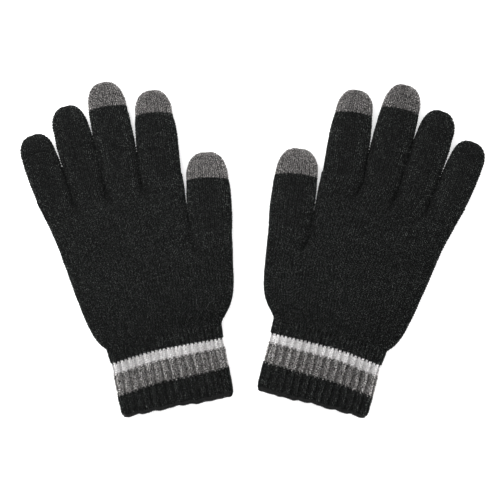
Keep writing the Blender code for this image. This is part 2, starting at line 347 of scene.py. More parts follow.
def four_loop(y):
    right = index_side(y) + THUMB_CREASE * (1 - smooth(y, *THUMB_CREASE_FADE))
    wide = loop(little_side(y), right, hand_thick(y), FOUR_COLUMNS, y)
    edges = [little_side(y), *FINGER_EDGES[1:4], right]
    spans = [(a, b, FINGER_COLUMNS) for a, b in zip(edges, edges[1:])]
    part = smooth(y, FINGER_LOBES_FROM, FINGER_LINE)
    return wide * (1 - part) + lobes(spans, hand_thick(y), y) * part


print("stitches around the palm:", 2 * FIVE_COLUMNS)

# %% [markdown]
# ## The courses of a digit
# A digit widens a little to its belly and narrows to its last joint, and its
# tip closes in a round end that is also thinner. Neighbouring digits press
# against each other near their feet, so each side swells until they touch.

# %% Width of a digit
BELLY = 0.55  # the widest place, as a share of the way to the last joint


def digit_width(digit, along):
    lean = math.radians(digit["lean"])
    base_wide = (digit["base"][1] - digit["base"][0] - FINGER_GAP) * math.cos(lean)
    last = digit["last"] * digit["length"]
    belly = BELLY * last
    if along <= belly:
        return base_wide + (digit["wide"] - base_wide) * math.sin(0.5 * math.pi * along / belly)
    part = min((along - belly) / (last - belly), 1.0)
    return digit["wide"] + (digit["slim"] - digit["wide"]) * part**2


# %% Loops of a digit
FOOT_REACH = 0.012  # the slanted foot of a digit straightens over this length
# how much each digit swells and how far up, in mm, on its left and on its right
TOUCHING = {
    "little": ((0.0, 20.0), (-0.4, 30.0)),
    "ring": ((-0.4, 30.0), (0.1, 36.0)),
    "middle": ((0.1, 36.0), (0.2, 27.0)),
    "index": ((0.2, 27.0), (0.0, 20.0)),
    "thumb": ((-0.3, 22.0), (0.0, 17.0)),
}
TIP_ARCH, TIP_SLOPE = 1.3 * MM, -0.045  # the colour change of a tip is arched and runs a little aslant
TIP_SHORT, THUMB_TIP_SHORT = 1.05 * MM, 2.2 * MM  # at its sides it lies about this far below the last joint
TIP_ROUNDNESS, TIP_FLATNESS = 2.2, 2.8
TIP_LIFT, TIP_THINNEST = 0.36, 0.10  # shares of the thickness
TIP_END = 0.985  # the last loop keeps a little width
TOUCH_FADE, CROTCH_FADE = (0.6, 1.3), (0.25, 0.55)  # shares of the height up to which digits touch


def touch(name, x, half, along):
    """Move the sides of a digit out or in, so that it meets its neighbours."""
    for sign, (swell, reach) in zip((-1, 1), TOUCHING[name]):
        fade = 1 - smooth(along, *(share * reach * MM for share in TOUCH_FADE))
        if swell < 0:  # only the crotch itself stays closed
            fade *= smooth(along, *(share * reach * MM for share in CROTCH_FADE))
        x = x + sign * swell * MM * fade * np.clip(sign * x / half, 0, 1) ** 2
    return x


def digit_loop(name, along):
    """A course around a digit, at a distance along it from its foot."""
    digit = DIGITS[name]
    lean = math.radians(digit["lean"])
    c, s = math.cos(lean), math.sin(lean)
    last, length = digit["last"] * digit["length"], digit["length"]
    half, raised = digit_width(digit, along) / 2, 0.0
    thick = FORK_THICK if name == "thumb" else FINGER_THICK
    if along > last:
        part = min((along - last) / (length - last), 1.0)
        round_off = (1 - (TIP_END * part) ** TIP_ROUNDNESS) ** (1 / TIP_ROUNDNESS)
        low = max(1 - part**TIP_FLATNESS, 0.0) ** 0.5
        half = half * round_off
        raised = thick * (1 - low) * TIP_LIFT
        thick = thick * max(low, TIP_THINNEST)
    columns = THUMB_COLUMNS if name == "thumb" else FINGER_COLUMNS
    points = loop(-half, half, thick, columns, 0.0, raised=raised, boxiness=DIGIT_BOXINESS)
    tilt = math.tan(lean) * (1 - smooth(along, 0.0, FOOT_REACH))
    y = along + tilt * points[:, 0]
    x = touch(name, points[:, 0], half, along)
    aslant = smooth(along, last - 10 * MM, last) * (1 - smooth(along, last, length - MM))
    short = THUMB_TIP_SHORT if name == "thumb" else TIP_SHORT
    y = y + aslant * (TIP_ARCH * (1 - (x / half) ** 2) - short + TIP_SLOPE * x)
    base_x, base_y = foot_of(name)
    return np.stack([base_x + x * c + y * s, base_y - x * s + y * c, points[:, 2]], axis=1)


print("stitches around a finger:", 2 * FINGER_COLUMNS)

# %% [markdown]
# ## The two places of the pair
# The left wrist joint and the right wrist joint say where each glove lies.
# Each glove leans a little away from the middle of the pair, and the one in
# the right-hand place is mirrored.

# %% Place a glove on the table
JOINTS = {j["name"]: j for j in frame["joints"]}
LEAN = {"left": math.radians(11.2), "right": math.radians(14.7)}
MIRROR = {"left": 1.0, "right": -1.0}
# soft gloves settle a little off the joint
SETTLED = {"left": (0.4 * MM, -0.5 * MM), "right": (0.4 * MM, 0.7 * MM)}


def place(points, side):
    """Points of the flat layout, turned and moved to the glove's place."""
    points = np.atleast_2d(np.asarray(points, float))
    c, s, mirror = math.cos(LEAN[side]), math.sin(LEAN[side]), MIRROR[side]
    wrist = JOINTS[f"{side}_wrist"]["pos_m"]
    x, y = points[:, 0] - CUFF_MIDDLE + SETTLED[side][0], points[:, 1] - WRIST + SETTLED[side][1]
    return np.stack([wrist[0] + mirror * (x * c - y * s), wrist[1] + x * s + y * c, points[:, 2]], axis=1)


for side in MIRROR:
    tip = (foot_of("middle")[0], FINGER_LINE + DIGITS["middle"]["length"], 0.0)
    print(side, "middle fingertip at", place([tip], side).round(3).tolist())

# %% [markdown]
# ## The shape of a stitch
# In plain knit each loop shows two slanted legs, a small V. In the cuff a
# column of Vs stands up and the next column lies low, showing only its
# purl bars: a one-and-one rib. A stitch is repeated thousands of times, so
# each leg is a thin spindle of a few faces, pointed at both ends so that it
# slips under its neighbours.

# %% Build a spindle along a line
def spindle(path, across, radii, sides=3):
    """A closed strand through path, as wide along across and as tall as the radii of its inner points."""
    path, across = np.asarray(path, float), np.asarray(across, float)
    vertices, along, faces = [path[0]], [0.0], []
    for k, (wide, tall) in enumerate(radii, 1):
        for n in range(sides):
            angle = math.pi / 2 + 2 * math.pi * n / sides
            spoke = across * wide * math.cos(angle) + np.array([0, 0, tall * math.sin(angle)])
            vertices.append(path[k] + spoke)
            along.append(k / (len(path) - 1))
    vertices.append(path[-1])
    along.append(1.0)
    last = len(vertices) - 1
    for n in range(sides):
        m = (n + 1) % sides
        faces.append((0, 1 + m, 1 + n))
        for k in range(len(radii) - 1):
            a, b = 1 + k * sides, 1 + (k + 1) * sides
            faces.append((a + n, a + m, b + m, b + n))
        faces.append((last, last - sides + n, last - sides + m))
    return vertices, faces, along


def smooth_mesh(name, vertices, faces):
    """A new mesh with smooth shading."""
    mesh = bpy.data.meshes.new(name)
    mesh.from_pydata(vertices, [], faces)
    mesh.polygons.foreach_set("use_smooth", [True] * len(mesh.polygons))
    return mesh


def strand_mesh(name, strands):
    """A mesh of several strands, with the place along each as an attribute."""
    vertices, faces, along = [], [], []
    for v, f, a in strands:
        faces += [tuple(len(vertices) + i for i in face) for face in f]
        vertices += [tuple(p) for p in v]
        along += a
    mesh = smooth_mesh(name, vertices, faces)
    mesh.attributes.new("strand", "FLOAT", "POINT").data.foreach_set("value", along)
    return bpy.data.objects.new(name, mesh)


# %% Plain stitch
# the right-hand leg of the V in columns and courses, then its height and its half width and thickness
LEG = np.array([(0.05, -0.20), (0.12, 0.15), (0.235, 0.58), (0.31, 0.98), (0.25, 1.20)])
LEG_HEIGHT = np.array([-0.42, 0.0, 0.13, 0.0, -0.40]) * MM
LEG_WIDE = (0.115, 0.14, 0.105)
LEG_TALL = np.array([0.34, 0.42, 0.30]) * MM


def leg(side, spread=1.0, raised=0.0, ahead=0.0):
    """One leg of the V, on the left (-1) or the right (+1) of its column."""
    path = [(0.5 + side * x * spread, y + ahead, z + raised) for (x, y), z in zip(LEG, LEG_HEIGHT)]
    radii = [(wide * spread, tall) for wide, tall in zip(LEG_WIDE, LEG_TALL)]
    return spindle(path, (1, 0, 0), radii)


PLAIN = strand_mesh("plain_stitch", [leg(-1), leg(1)])
print("faces in a plain stitch:", len(PLAIN.data.polygons))

# %% Rib repeat
KNIT_COLUMN = dict(spread=0.62, raised=0.30 * MM, ahead=0.30)
PURL_MIDDLE, PURL_REACH, PURL_COURSE, PURL_HEIGHT = 1.0, 0.20, -0.10, -0.20 * MM
PURL_ACROSS = (-1.25, -0.7, -0.25, 0.25, 0.7, 1.25)
PURL_BEND = np.array([-0.35, -0.05, 0.05, 0.05, -0.05, -0.35]) * MM
PURL_RADII = [(0.24, 0.30 * MM), (0.28, 0.36 * MM), (0.28, 0.36 * MM), (0.24, 0.30 * MM)]


def purl_bar():
    """The low bar of a purl column, between two knit columns."""
    heights = PURL_BEND + PURL_HEIGHT
    courses = [PURL_COURSE + 0.10 * (1 - x * x) for x in PURL_ACROSS]
    path = [(PURL_MIDDLE + PURL_REACH * x, y, z) for x, y, z in zip(PURL_ACROSS, courses, heights)]
    return spindle(path, (0, -1, 0), PURL_RADII)


RIB = strand_mesh("rib_repeat", [leg(-1, **KNIT_COLUMN), leg(1, **KNIT_COLUMN), purl_bar()])
print("faces in a rib repeat:", len(RIB.data.polygons))

# %% Overlock wrap and loose fibre
WRAP_END_HEIGHT, WRAP_HEIGHT, WRAP_SLANT = -0.2 * MM, 0.12 * MM, 0.75
wrap_line = [(0.15 + WRAP_SLANT * t, t, WRAP_HEIGHT) for t in np.linspace(0.06, 0.94, 9)]
wrap_line = [(0.10, 0.02, WRAP_END_HEIGHT), *wrap_line, (0.95, 0.98, WRAP_END_HEIGHT)]
WRAP = strand_mesh("overlock_wrap", [spindle(wrap_line, (1, 0, 0), [(0.36, 0.30 * MM)] * 9)])

FIBRE_RADIUS = 0.035 * MM
fibre_line = [(0, 0, -0.3 * MM), (0.15 * MM, 0, 0.5 * MM), (0.75 * MM, 0, 1.1 * MM), (1.7 * MM, 0, 1.3 * MM)]
FIBRE = strand_mesh("loose_fibre", [spindle(fibre_line, (0, 1, 0), [(FIBRE_RADIUS, FIBRE_RADIUS)] * 2)])
print("faces in an overlock wrap:", len(WRAP.data.polygons), "in a fibre:", len(FIBRE.data.polygons))

# %% [markdown]
# ## Knitting with Geometry Nodes
# The tree lays a chart of stitches, columns by courses, as flat instances and
# then wraps the chart onto the piece's bed, the surface that carries the
# yarn. Sample UV Surface finds the place on the bed for every point of the
# chart, so each stitch bends with the tube. The same tree scatters short
# loose fibres and adds the close ground behind the yarn. It ends in plain
# geometry, because instances don't survive the export.

# %% One function that adds a node
def add(tree, kind, links=None, **settings):
    """Add a node; links maps an input to a value, to an output, or to a node for its first output."""
    node = tree.nodes.new(kind)
    for key, value in settings.items():
        setattr(node, key, value)
    for key, value in (links or {}).items():
        if isinstance(value, bpy.types.Node):
            value = value.outputs[0]
        if isinstance(value, bpy.types.NodeSocket):
            tree.links.new(value, node.inputs[key])
        else:
            node.inputs[key].default_value = value
    return node


MATHS, VECTOR_MATHS = "ShaderNodeMath", "ShaderNodeVectorMath"
COMBINE, SEPARATE = "ShaderNodeCombineXYZ", "ShaderNodeSeparateXYZ"
RANDOM, STORE = "FunctionNodeRandomValue", "GeometryNodeStoreNamedAttribute"
NAMED = "GeometryNodeInputNamedAttribute"

# %% Lay the chart of stitches
SLIP = (0.07, 0.10, 0.0)  # how far a stitch slips out of line, in columns and courses
SMALLEST, LARGEST = (0.90, 0.94, 0.85), (1.10, 1.06, 1.18)  # loose and tight stitches


def place_of_stitches(tree, given):
    """One point for each column and course, a little out of line."""
    index = add(tree, "GeometryNodeInputIndex")
    column = add(tree, MATHS, {0: index, 1: given["Columns"]}, operation="MODULO")
    course = add(tree, MATHS, {0: index, 1: given["Columns"]}, operation="DIVIDE")
    course = add(tree, MATHS, {0: course}, operation="FLOOR")
    spot = add(tree, COMBINE, {0: column, 1: course})
    sides = {0: [-s for s in SLIP], 1: SLIP, "Seed": given["Seed"]}
    slip = add(tree, RANDOM, sides, data_type="FLOAT_VECTOR")
    loose = add(tree, COMBINE, {0: given["Looseness"], 1: given["Looseness"]})
    slipped = add(tree, VECTOR_MATHS, {0: slip, 1: loose}, operation="MULTIPLY")
    spot = add(tree, VECTOR_MATHS, {0: spot, 1: slipped}, operation="ADD")
    count = add(tree, MATHS, {0: given["Columns"], 1: given["Courses"]}, operation="MULTIPLY")
    return add(tree, "GeometryNodePoints", {"Count": count, "Position": spot})


def chart_of_stitches(tree, given, seeds):
    """A stitch on every point, with its own size and tone; height is its z in mm, plus 1."""
    stitch = add(tree, "GeometryNodeObjectInfo", {"Object": given["Stitch"]}).outputs["Geometry"]
    size = add(tree, RANDOM, {0: SMALLEST, 1: LARGEST, "Seed": seeds[0]}, data_type="FLOAT_VECTOR")
    placed = {"Points": place_of_stitches(tree, given), "Instance": stitch, "Scale": size}
    stitches = add(tree, "GeometryNodeInstanceOnPoints", placed)
    tone = add(tree, RANDOM, {2: 0.0, 3: 1.0, "Seed": seeds[1]}, data_type="FLOAT").outputs[1]
    toned = add(tree, STORE, {"Geometry": stitches, "Name": "tone", "Value": tone}, domain="INSTANCE")
    chart = add(tree, "GeometryNodeRealizeInstances", {"Geometry": toned})
    level = add(tree, SEPARATE, {0: add(tree, "GeometryNodeInputPosition")}).outputs[2]
    level = add(tree, MATHS, {0: level, 1: 1 / MM, 2: 1.0}, operation="MULTIPLY_ADD")
    return add(tree, STORE, {"Geometry": chart, "Name": "height", "Value": level})


# %% Wrap the chart onto the bed
BED_MARGIN = 0.0005  # keeps the lookup just inside the bed


def place_on_bed(tree, given, on_chart):
    """Where each point of the chart lies on the bed, as UV."""
    around = add(tree, MATHS, {0: on_chart[0], 1: given["Columns"]}, operation="DIVIDE")
    around = add(tree, MATHS, {0: around}, operation="FRACT")
    rows = add(tree, MATHS, {0: given["Courses"], 1: 2.0}, operation="ADD")
    up = add(tree, MATHS, {0: on_chart[1], 1: 1.0}, operation="ADD")
    up = add(tree, MATHS, {0: up, 1: rows}, operation="DIVIDE")
    up = add(tree, "ShaderNodeClamp", {"Value": up, "Min": BED_MARGIN, "Max": 1 - BED_MARGIN})
    return add(tree, COMBINE, {0: around, 1: up})


def wrap(tree, given, chart):
    """The chart on the bed: each point takes its place, the outward direction and the crest from there."""
    position = add(tree, "GeometryNodeInputPosition")
    on_chart = add(tree, SEPARATE, {0: position}).outputs
    uv = place_on_bed(tree, given, on_chart)
    bed_uv = add(tree, NAMED, {"Name": "bed"}, data_type="FLOAT_VECTOR")
    outward = add(tree, NAMED, {"Name": "outward"}, data_type="FLOAT_VECTOR")
    crest = add(tree, NAMED, {"Name": "crest"}, data_type="FLOAT")
    found = []
    for value, kind in ((position, "FLOAT_VECTOR"), (outward, "FLOAT_VECTOR"), (crest, "FLOAT")):
        wanted = {"Mesh": given["Bed"], "Value": value, "Source UV Map": bed_uv, "Sample UV": uv}
        found.append(add(tree, "GeometryNodeSampleUVSurface", wanted, data_type=kind))
    chart = add(tree, STORE, {"Geometry": chart, "Name": "crest", "Value": found[2]})
    lifted = add(tree, VECTOR_MATHS, {0: found[1], "Scale": on_chart[2]}, operation="SCALE")
    moved = add(tree, VECTOR_MATHS, {0: found[0], 1: lifted}, operation="ADD")
    return add(tree, "GeometryNodeSetPosition", {"Geometry": chart, "Position": moved})


# %% Scatter the loose fibres
FIBRE_SWAY = (1.3, 1.3, 0.9)
SHORTEST_FIBRE, LONGEST_FIBRE = 0.4, 1.35
DARKEST_FIBRE, PALEST_FIBRE = 0.4, 1.3
FIBRE_HEIGHT = 1.5  # fibres count as lying above the stitches, so their colour gets painted light


def loose_fibres(tree, given, seeds):
    """Short fibres that stand off the bed in every direction."""
    spread = {"Mesh": given["Bed"], "Density": given["Fibre Density"], "Seed": given["Seed"]}
    scatter = add(tree, "GeometryNodeDistributePointsOnFaces", spread).outputs
    sides = {0: [-s for s in FIBRE_SWAY], 1: FIBRE_SWAY, "Seed": seeds[2]}
    sway = add(tree, RANDOM, sides, data_type="FLOAT_VECTOR")
    aim = add(tree, VECTOR_MATHS, {0: scatter["Normal"], 1: sway}, operation="ADD")
    aim = add(tree, "FunctionNodeAlignRotationToVector", {"Vector": aim}, axis="Z")
    hair = add(tree, "GeometryNodeObjectInfo", {"Object": given["Fibre"]}).outputs["Geometry"]
    lengths = {2: SHORTEST_FIBRE, 3: LONGEST_FIBRE, "Seed": seeds[3]}
    reach = add(tree, RANDOM, lengths, data_type="FLOAT").outputs[1]
    placed = {"Points": scatter["Points"], "Instance": hair, "Rotation": aim, "Scale": reach}
    fibres = add(tree, "GeometryNodeInstanceOnPoints", placed)
    tones = {2: DARKEST_FIBRE, 3: PALEST_FIBRE, "Seed": seeds[4]}
    light = add(tree, RANDOM, tones, data_type="FLOAT").outputs[1]
    for name, value in (("tone", light), ("height", FIBRE_HEIGHT)):
        marked = {"Geometry": fibres, "Name": name, "Value": value}
        fibres = add(tree, STORE, marked, domain="INSTANCE")
    return fibres


# %% Build the knitting tree
KNIT_INPUTS = (
    ("Columns", "NodeSocketInt"), ("Courses", "NodeSocketInt"), ("Stitch", "NodeSocketObject"),
    ("Ground", "NodeSocketObject"), ("Fibre", "NodeSocketObject"), ("Fibre Density", "NodeSocketFloat"),
    ("Looseness", "NodeSocketFloat"), ("Seed", "NodeSocketInt"), ("Yarn", "NodeSocketMaterial"),
)


def knitting_tree():
    tree = bpy.data.node_groups.new("knit_on_a_bed", "GeometryNodeTree")
    face = tree.interface
    face.new_socket("Bed", in_out="INPUT", socket_type="NodeSocketGeometry")
    for name, kind in KNIT_INPUTS:
        face.new_socket(name, in_out="INPUT", socket_type=kind)
    face.new_socket("Knit", in_out="OUTPUT", socket_type="NodeSocketGeometry")
    given = add(tree, "NodeGroupInput").outputs
    seeds = [add(tree, MATHS, {0: given["Seed"], 1: k}, operation="ADD") for k in (1.0, 2.0, 3.0, 4.0, 5.0)]
    ground = add(tree, "GeometryNodeObjectInfo", {"Object": given["Ground"]}).outputs["Geometry"]
    fibres = loose_fibres(tree, given, seeds)
    knitted = wrap(tree, given, chart_of_stitches(tree, given, seeds))
    joined = add(tree, "GeometryNodeJoinGeometry")
    for part in (ground, fibres.outputs[0], knitted.outputs[0]):
        tree.links.new(part, joined.inputs[0])
    plain = add(tree, "GeometryNodeRealizeInstances", {"Geometry": joined})
    finished = add(tree, "GeometryNodeSetMaterial", {"Geometry": plain, "Material": given["Yarn"]})
    add(tree, "NodeGroupOutput", {0: finished})
    return tree


KNITTING = knitting_tree()
print("nodes in the knitting tree:", len(KNITTING.nodes))

# %% [markdown]
# ## The bed and the ground
# The bed is a grid: one row for every course, one column for every stitch,
# and one more row beyond each end so that the legs that overlap the edge
# still find a surface. The ground is a thin closed wall just under the yarn.
# It stops light from leaking between the stitches and is the inner face that
# shows at the opening of the cuff.

# %% Stack loops into a bed
DENSE_STEPS = 60  # loops used to measure the tube's length


def stack(draw, start, end, course):
    """Loops from start to end, one course apart along the middle of the top."""
    dense = np.linspace(start, end, DENSE_STEPS)
    loops = [draw(t) for t in dense]
    crown = np.array([p[len(p) // 4] for p in loops])
    length = np.concatenate([[0.0], np.cumsum(np.linalg.norm(np.diff(crown, axis=0), axis=1))])
    courses = max(2, round(length[-1] / course))
    at = np.interp(np.linspace(0, length[-1], courses + 1), length, dense)
    rows = [draw(t) for t in at]
    rows.insert(0, 2 * rows[0] - rows[1])
    rows.append(2 * rows[-1] - rows[-2])
    return np.array(rows), courses


# %% [markdown]
# ## Creases and unevenness
# Where two digits press together, the fabric dips between them and sends
# back less light, so every spot near such a line counts as a hollow and its
# colour gets painted shade. The rest of the fabric rises and falls a little by
# noise, because knitting that has been worn never lies quite flat.

# %% Find the creases between the digits
# neighbouring digits press together up to this height above the foot
CREASES = (
    ("little", "ring", 27 * MM), ("ring", "middle", 35 * MM),
    ("middle", "index", 30 * MM), ("index", "thumb", 17 * MM),
)
CREASE_WIDE = 2.0 * MM
CREASE_BELOW = 12 * MM  # a crease runs out in the palm
THUMB_CREASE_LEAN = 0.4  # the crease beside the thumb stands straighter than the digits


def crease_depth(points):
    """How deep each point lies in the creases between the digits, from 0 to 1."""
    depth = np.zeros(len(points))
    for first, second, height in CREASES:
        foot = np.array([DIGITS[second]["base"][0], foot_of(second)[1]])
        lean = math.radians((DIGITS[first]["lean"] + DIGITS[second]["lean"]) / 2)
        lean *= THUMB_CREASE_LEAN if second == "thumb" else 1.0
        along = np.array([math.sin(lean), math.cos(lean)])
        step = points[:, :2] - foot
        up = step @ along
        aside = np.linalg.norm(step - np.outer(np.clip(up, -CREASE_BELOW, height), along), axis=1)
        fade = np.clip(up / CREASE_BELOW + 1, 0, 1)
        depth = np.maximum(depth, fade * np.exp(-((aside / CREASE_WIDE) ** 2)))
    return depth


# %% Make the fabric uneven
UNEVEN, UNEVEN_SPAN = 0.32 * MM, 17 * MM  # how far the fabric rises and falls, and over what width
FINE_SHARE, FINE_SPAN = 0.45, 0.3 * UNEVEN_SPAN
EDGE_WAVE, EDGE_WAVE_SPAN = 0.28 * MM, 9 * MM
EDGE_WAVE_CHANGE = 0.05  # the wave differs between places this far apart across the glove
UNDER_SHARE = 0.35  # the layer on the table lies flatter
UNEVEN_SEED = {"left": 1.0, "right": 5.0}
BESIDE = (-3, -2, 2, 3)  # a crest stands above these neighbouring columns
LOWEST_CREST, PRESSED = -1.5, 2.2  # in mm: the deepest hollow, and what a crease adds to it; hollows and creases get painted shade


def uneven(rows, seed, highest_crest):
    """Shift the fabric a little, and find its outward direction and how far each spot is a crest, in mm."""
    for row in rows:
        for p in row:
            spot = Vector((p[0] / UNEVEN_SPAN, p[1] / UNEVEN_SPAN, seed * 7.3))
            fine = Vector((p[0] / FINE_SPAN, p[1] / FINE_SPAN, seed * 3.1 + 20.0))
            rise = noise.noise(spot) + FINE_SHARE * noise.noise(fine)
            layer = 1.0 if p[2] > CUFF_THICK / 2 else UNDER_SHARE
            p[0] += EDGE_WAVE * noise.noise(Vector((p[1] / EDGE_WAVE_SPAN, seed, p[0] / EDGE_WAVE_CHANGE)))
            p[2] += UNEVEN * rise * layer
    rows[:, -1] = rows[:, 0]
    across = np.empty_like(rows)
    across[:, 1:-1] = rows[:, 2:] - rows[:, :-2]
    across[:, 0] = across[:, -1] = rows[:, 1] - rows[:, -2]
    along = np.gradient(rows, axis=0)
    outward = np.cross(across, along)
    size = np.linalg.norm(outward, axis=2, keepdims=True)
    outward = outward / np.maximum(size, 1e-12)
    # how far each spot stands out from its neighbours: the yarn gets painted shade in hollows and creases and
    # painted light on crests
    ring = rows[:, :-1]
    beside = sum(np.roll(ring, shift, axis=1) for shift in BESIDE) / len(BESIDE)
    crest = ((ring - beside) * outward[:, :-1]).sum(axis=2) / MM
    crest = np.clip(crest - np.median(crest, axis=1, keepdims=True), LOWEST_CREST, highest_crest)
    crest -= PRESSED * crease_depth(ring.reshape(-1, 3)).reshape(crest.shape)
    return rows, outward, np.concatenate([crest, crest[:, :1]], axis=1)


# %% Make the bed a mesh
def bed_object(rows, outward, crest):
    """The grid as a mesh with its UV map, its outward direction and its crests."""
    high, wide = rows.shape[:2]
    grid = np.arange(high * wide).reshape(high, wide)
    faces = np.stack([grid[:-1, :-1], grid[:-1, 1:], grid[1:, 1:], grid[1:, :-1]], axis=-1).reshape(-1, 4)
    mesh = bpy.data.meshes.new("bed")
    mesh.from_pydata(rows.reshape(-1, 3).tolist(), [], faces.tolist())
    corner = faces.reshape(-1)
    uv = np.stack([corner % wide / (wide - 1), corner // wide / (high - 1)], axis=1)
    mesh.uv_layers.new(name="bed").data.foreach_set("uv", uv.reshape(-1))
    mesh.attributes.new("outward", "FLOAT_VECTOR", "POINT").data.foreach_set("vector", outward.reshape(-1))
    mesh.attributes.new("crest", "FLOAT", "POINT").data.foreach_set("value", crest.reshape(-1))
    return put("bed", mesh)


# %% Close the ground behind the yarn
GROUND_DEPTH = 0.20 * MM
WALL_DEPTH = 0.95 * MM


def tip_seam(ring):
    """Faces that close a tip with a flat seam across its last loop."""
    wide = len(ring)
    faces = []
    for k in range(wide // 2):
        quad = [ring[k], ring[k + 1], ring[(wide - k - 1) % wide], ring[(wide - k) % wide]]
        faces.append(list(dict.fromkeys(quad)))
    return faces


def ground_object(rows, outward, closed):
    """A closed wall under the bed; a closed tip ends in a flat seam."""
    rows, outward = rows[1:-1, :-1], outward[1:-1, :-1]
    skins = [rows - outward * GROUND_DEPTH, rows - outward * WALL_DEPTH]
    high, wide = rows.shape[:2]
    if closed:
        skins[1] = skins[1][:-1]
    vertices = np.concatenate([s.reshape(-1, 3) for s in skins])
    outer = np.arange(high * wide).reshape(high, wide)
    inner = high * wide + np.arange(len(skins[1]) * wide).reshape(-1, wide)
    faces = []
    for grid, order in ((outer, 1), (inner, -1)):
        for a, b in zip(grid, grid[1:]):
            for k in range(wide):
                n = (k + 1) % wide
                faces.append((a[k], a[n], b[n], b[k])[::order])
    for k in range(wide):
        n = (k + 1) % wide
        faces.append((outer[0][n], outer[0][k], inner[0][k], inner[0][n]))
        if not closed:
            faces.append((outer[-1][k], outer[-1][n], inner[-1][n], inner[-1][k]))
    if closed:
        for grid, order in ((outer, 1), (inner, -1)):
            faces += [quad[::order] for quad in tip_seam(grid[-1])]
    mesh = smooth_mesh("ground", vertices.tolist(), [tuple(int(i) for i in f) for f in faces])
    return bpy.data.objects.new("ground", mesh)


# %% Knit one piece
SOCKETS = {s.name: s.identifier for s in KNITTING.interface.items_tree if s.in_out == "INPUT"}
SEEDS = iter(range(11, 4000, 7))
PIECES = {}
FIBRE_DENSITY = 0.09  # loose fibres on a square millimetre
RIB_CREST, PLAIN_CREST = 0.6, 0.05  # in mm: high crests get painted light, and only the rib's folds stand high enough for it


def discard(*objects):
    for o in objects:
        mesh = o.data
        bpy.data.objects.remove(o)
        bpy.data.meshes.remove(mesh)


def turned_to_mesh(bed, side):
    """The knitted result as a plain mesh, laid in the glove's place."""
    evaluated = bed.evaluated_get(bpy.context.evaluated_depsgraph_get())
    mesh = bpy.data.meshes.new_from_object(evaluated)
    points = np.empty(len(mesh.vertices) * 3, np.float32)
    mesh.vertices.foreach_get("co", points)
    points = place(points.reshape(-1, 3), side).astype(np.float32)
    points[:, 2] = np.maximum(points[:, 2], 0.0)  # the glove rests on the table
    mesh.vertices.foreach_set("co", points.reshape(-1))
    if MIRROR[side] < 0:
        mesh.flip_normals()
    for spare in ("outward", "bed", "id"):
        mesh.attributes.remove(mesh.attributes[spare])
    return mesh


def knit(side, name, draw, start, end, course, stitch, yarn, repeats=None, courses=None,
         fibre=FIBRE_DENSITY, closed=False, looseness=1.0):
    """Knit the piece between two places of a tube and lay it on the table."""
    rows, counted = stack(draw, start, end, course)
    rows, outward, crest = uneven(rows, UNEVEN_SEED[side], RIB_CREST if stitch is RIB else PLAIN_CREST)
    bed, ground = bed_object(rows, outward, crest), ground_object(rows, outward, closed)
    modifier = bed.modifiers.new("knit", "NODES")
    modifier.node_group = KNITTING
    values = {
        "Columns": repeats or rows.shape[1] - 1, "Courses": courses or counted, "Stitch": stitch,
        "Ground": ground, "Fibre": FIBRE, "Fibre Density": fibre / MM**2, "Looseness": looseness,
        "Seed": next(SEEDS), "Yarn": yarn,
    }
    for socket, value in values.items():
        modifier[SOCKETS[socket]] = value
    mesh = turned_to_mesh(bed, side)
    mesh.materials.clear()
    mesh.materials.append(yarn)
    mesh.polygons.foreach_set("material_index", [0] * len(mesh.polygons))
    mesh.polygons.foreach_set("use_smooth", [True] * len(mesh.polygons))
    mesh.update()
    discard(bed, ground)
    piece = put(f"knitted_{side}_{name}", mesh)
    PIECES[piece.name] = piece
    return piece


print("inputs of the knitting:", ", ".join(SOCKETS))

# %% [markdown]
# ## Yarn colours
# Spun acrylic is matt: its fibres scatter light, so it is rough with a weak
# grey sheen. A mottled yarn mixes darker and lighter fibres, which shows as
# speckles from one stitch to the next. Every yarn material therefore mixes
# three colours by fibre noise and by the tone of its stitch. It also paints
# shade into its colour between the stitches, in the folds and in the creases,
# and paints light on crests and loose fibres. A real fibre is about
# 0.02 mm thick, far too fine to show, so each speckle is drawn as coarse as
# a bundle of fibres, 0.6 to 0.8 mm wide.

# %% Colour and scale helpers
def linear(code):
    """An sRGB hex colour as linear RGBA."""
    parts = [int(code[k: k + 2], 16) / 255 for k in (0, 2, 4)]
    return (*[c / 12.92 if c <= 0.04045 else ((c + 0.055) / 1.055) ** 2.4 for c in parts], 1.0)


def per_mm(size):
    """Noise scale for features of this size in millimetres, on coordinates in metres."""
    return 1.0 / (size * MM)


# %% Colour of a mottled yarn
def mottled(tree, where, colours, speckle_mm, tone_share, light_from, softness):
    """Dark, middle and light fibres, mixed by noise and by the tone of the whole stitch."""
    tone = add(tree, "ShaderNodeAttribute", attribute_name="tone").outputs["Fac"]
    grain = {"Vector": where, "Scale": per_mm(speckle_mm), "Detail": 1.0, "Roughness": 0.5}
    speckle = add(tree, "ShaderNodeTexNoise", grain)
    sharpened = {"Value": speckle, "From Min": light_from - softness, "From Max": light_from + softness}
    speckle = add(tree, "ShaderNodeMapRange", sharpened)
    mixed = add(tree, "ShaderNodeMix", {"Factor": tone_share, 2: speckle, 3: tone}, data_type="FLOAT")
    ramp = add(tree, "ShaderNodeValToRGB", {"Fac": mixed})
    first, last = ramp.color_ramp.elements
    first.position, last.position = FIBRES_AT[0], FIBRES_AT[2]
    first.color, last.color = linear(colours[0]), linear(colours[2])
    ramp.color_ramp.elements.new(FIBRES_AT[1]).color = linear(colours[1])
    return ramp.outputs["Color"]


# %% Shade of the yarn
WEAR_MM = 21.0  # places rubbed paler or pressed darker are about two centimetres wide
WEAR = (0.84, 1.16)
NOISE_RANGE = (0.3, 0.7)  # nearly all values of the noise lie in here
# painted shade on low yarn and on the ground, which has no height; painted light on the highest yarn and the
# loose fibres
HEIGHT_SHADED, HEIGHT_LIT, LIT = 0.55, 1.5, 1.18
CREST_SPAN = 1.2  # mm below and above the average at which the painted shade of hollows is darkest and the painted light of crests palest
FIBRES_AT = (0.12, 0.52, 0.92)  # places of the dark, middle and light fibres in the mixture


